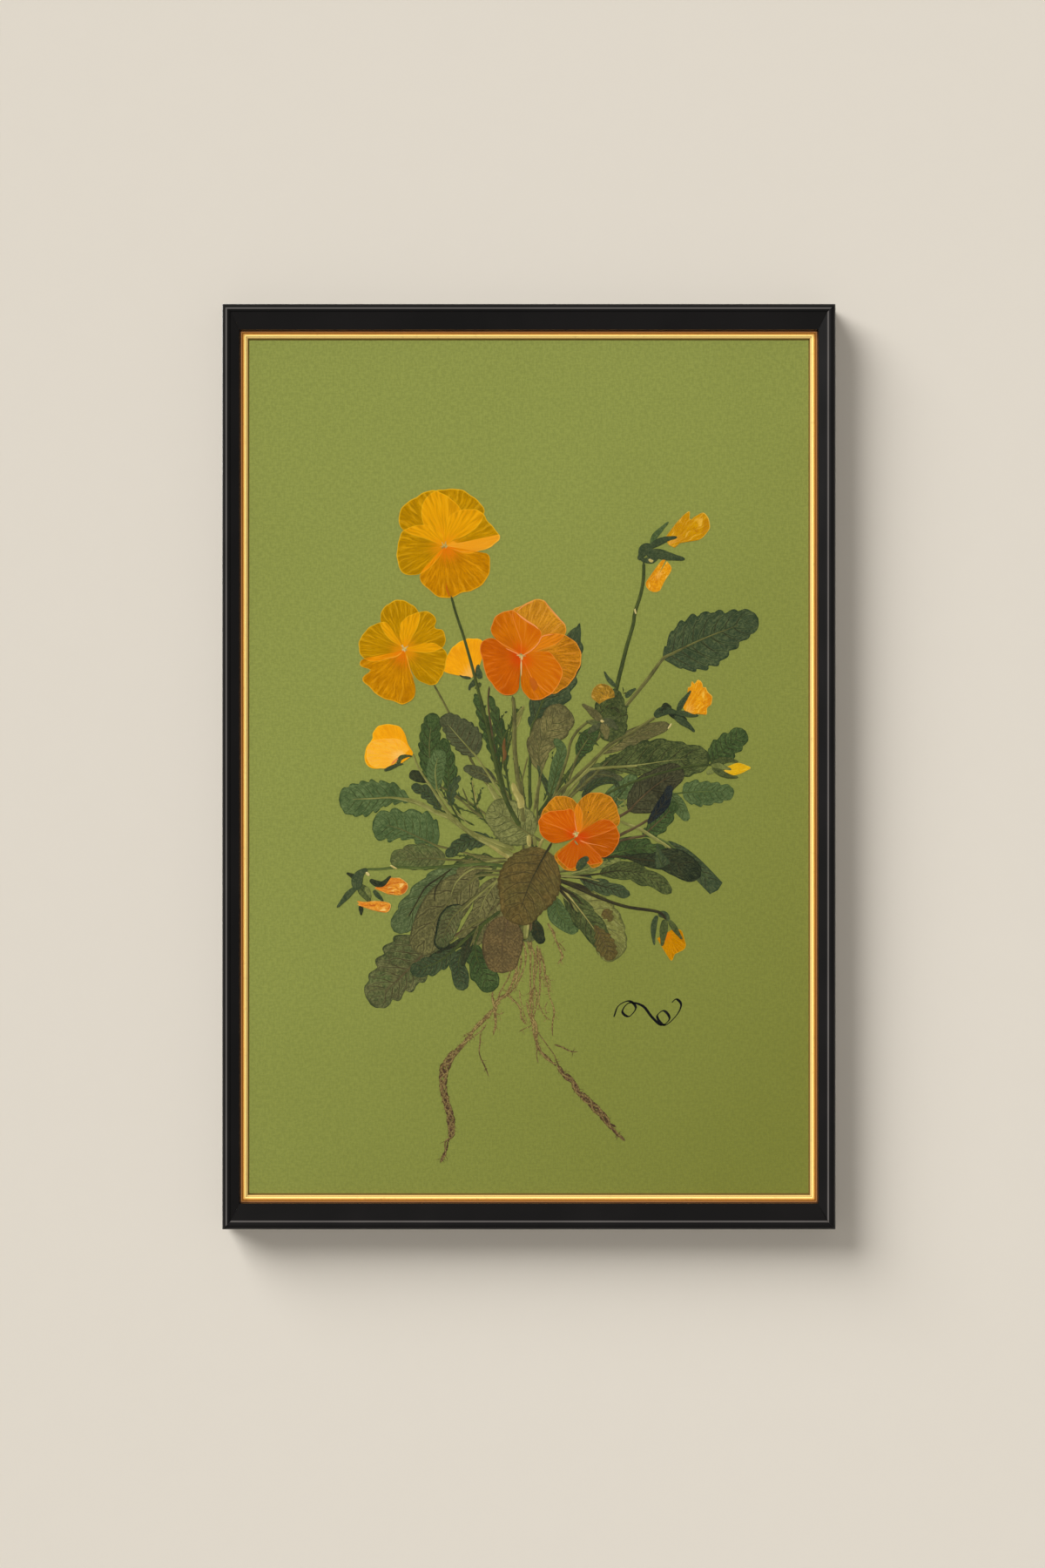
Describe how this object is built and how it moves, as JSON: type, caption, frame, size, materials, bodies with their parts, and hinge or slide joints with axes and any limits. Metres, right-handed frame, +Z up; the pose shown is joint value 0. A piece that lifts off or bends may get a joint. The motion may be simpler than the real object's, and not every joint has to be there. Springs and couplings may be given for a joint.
{
  "type": "pressed flower frame",
  "caption": "Upright black picture frame with a gilt slip, glazed over a pressed pansy plant with flowers, buds, leaves and roots on olive-green card, hung by a sawtooth hanger.",
  "frame": {"origin": "the nail: on the wall plane, at the middle notch of the sawtooth hanger", "axes": "+X right as seen from the front, +Z up, front towards -Y, wall plane at y = 0"},
  "size_m": [0.3166, 0.02, 0.4775],
  "materials": {
    "black_lacquer": "wood with satin black lacquer",
    "gilt": "burnished gold leaf over wood",
    "glazing": "clear picture glass",
    "card": "matt olive-green mount card",
    "board": "plain brown backing board",
    "steel": "zinc-plated steel",
    "yellow_petal": "dried yellow petals, thin and matt",
    "orange_petal": "dried orange petals, thin and matt",
    "leaf_green": "dried green leaf, matt",
    "leaf_olive": "dried olive leaf, matt",
    "leaf_brown": "dried brown leaf, matt",
    "leaf_dark": "dried blue-green leaf, matt",
    "root": "dried tan root"
  },
  "bodies": {
    "root": {"rail_top": "black_lacquer", "rail_right": "black_lacquer", "rail_bottom": "black_lacquer", "rail_left": "black_lacquer", "slip_top": "gilt", "slip_right": "gilt", "slip_bottom": "gilt", "slip_left": "gilt", "glazing": "glazing", "mount_card": "card", "backing_board": "board", "framer_point_1": "steel", "framer_point_2": "steel", "framer_point_3": "steel", "framer_point_4": "steel", "framer_point_5": "steel", "framer_point_6": "steel", "sawtooth_hanger": "steel", "hanger_pin_left": "steel", "hanger_pin_right": "steel", "stem": "leaf_olive", "flower_yellow_top": "yellow_petal", "flower_yellow_left": "yellow_petal", "flower_yellow_folded": "yellow_petal", "flower_orange_centre": "orange_petal", "flower_orange_low": "orange_petal", "flower_yellow_side": "yellow_petal", "bud_top_right": "yellow_petal", "bud_mid_right": "yellow_petal", "bud_centre": "leaf_green", "bud_far_right": "yellow_petal", "bud_left": "orange_petal", "bud_low_right": "orange_petal", "leaf_upper_right": "leaf_green", "leaf_behind_orange": "leaf_green", "leaf_upright_left": "leaf_green", "leaf_grey": "leaf_olive", "leaf_far_left": "leaf_green", "leaf_left": "leaf_green", "leaf_olive_brown": "leaf_brown", "leaf_long_right": "leaf_olive", "leaf_purple": "leaf_brown", "leaf_far_right": "leaf_green", "leaf_small_right": "leaf_green", "leaf_round_olive": "leaf_olive", "leaf_brown": "leaf_brown", "leaf_brown_low": "leaf_brown", "leaf_bottom_left": "leaf_green", "leaf_lower_left": "leaf_green", "leaf_taupe": "leaf_brown", "leaf_dark_tuft": "leaf_dark", "leaf_small_green": "leaf_green", "leaf_folded_dark": "leaf_dark", "leaf_cut_strip": "leaf_green", "leaf_low_right": "leaf_olive", "leaf_papery": "leaf_olive", "leaf_low_green": "leaf_green", "root_left": "root", "root_right": "root", "root_fine": "root"}
  },
  "joints": []
}
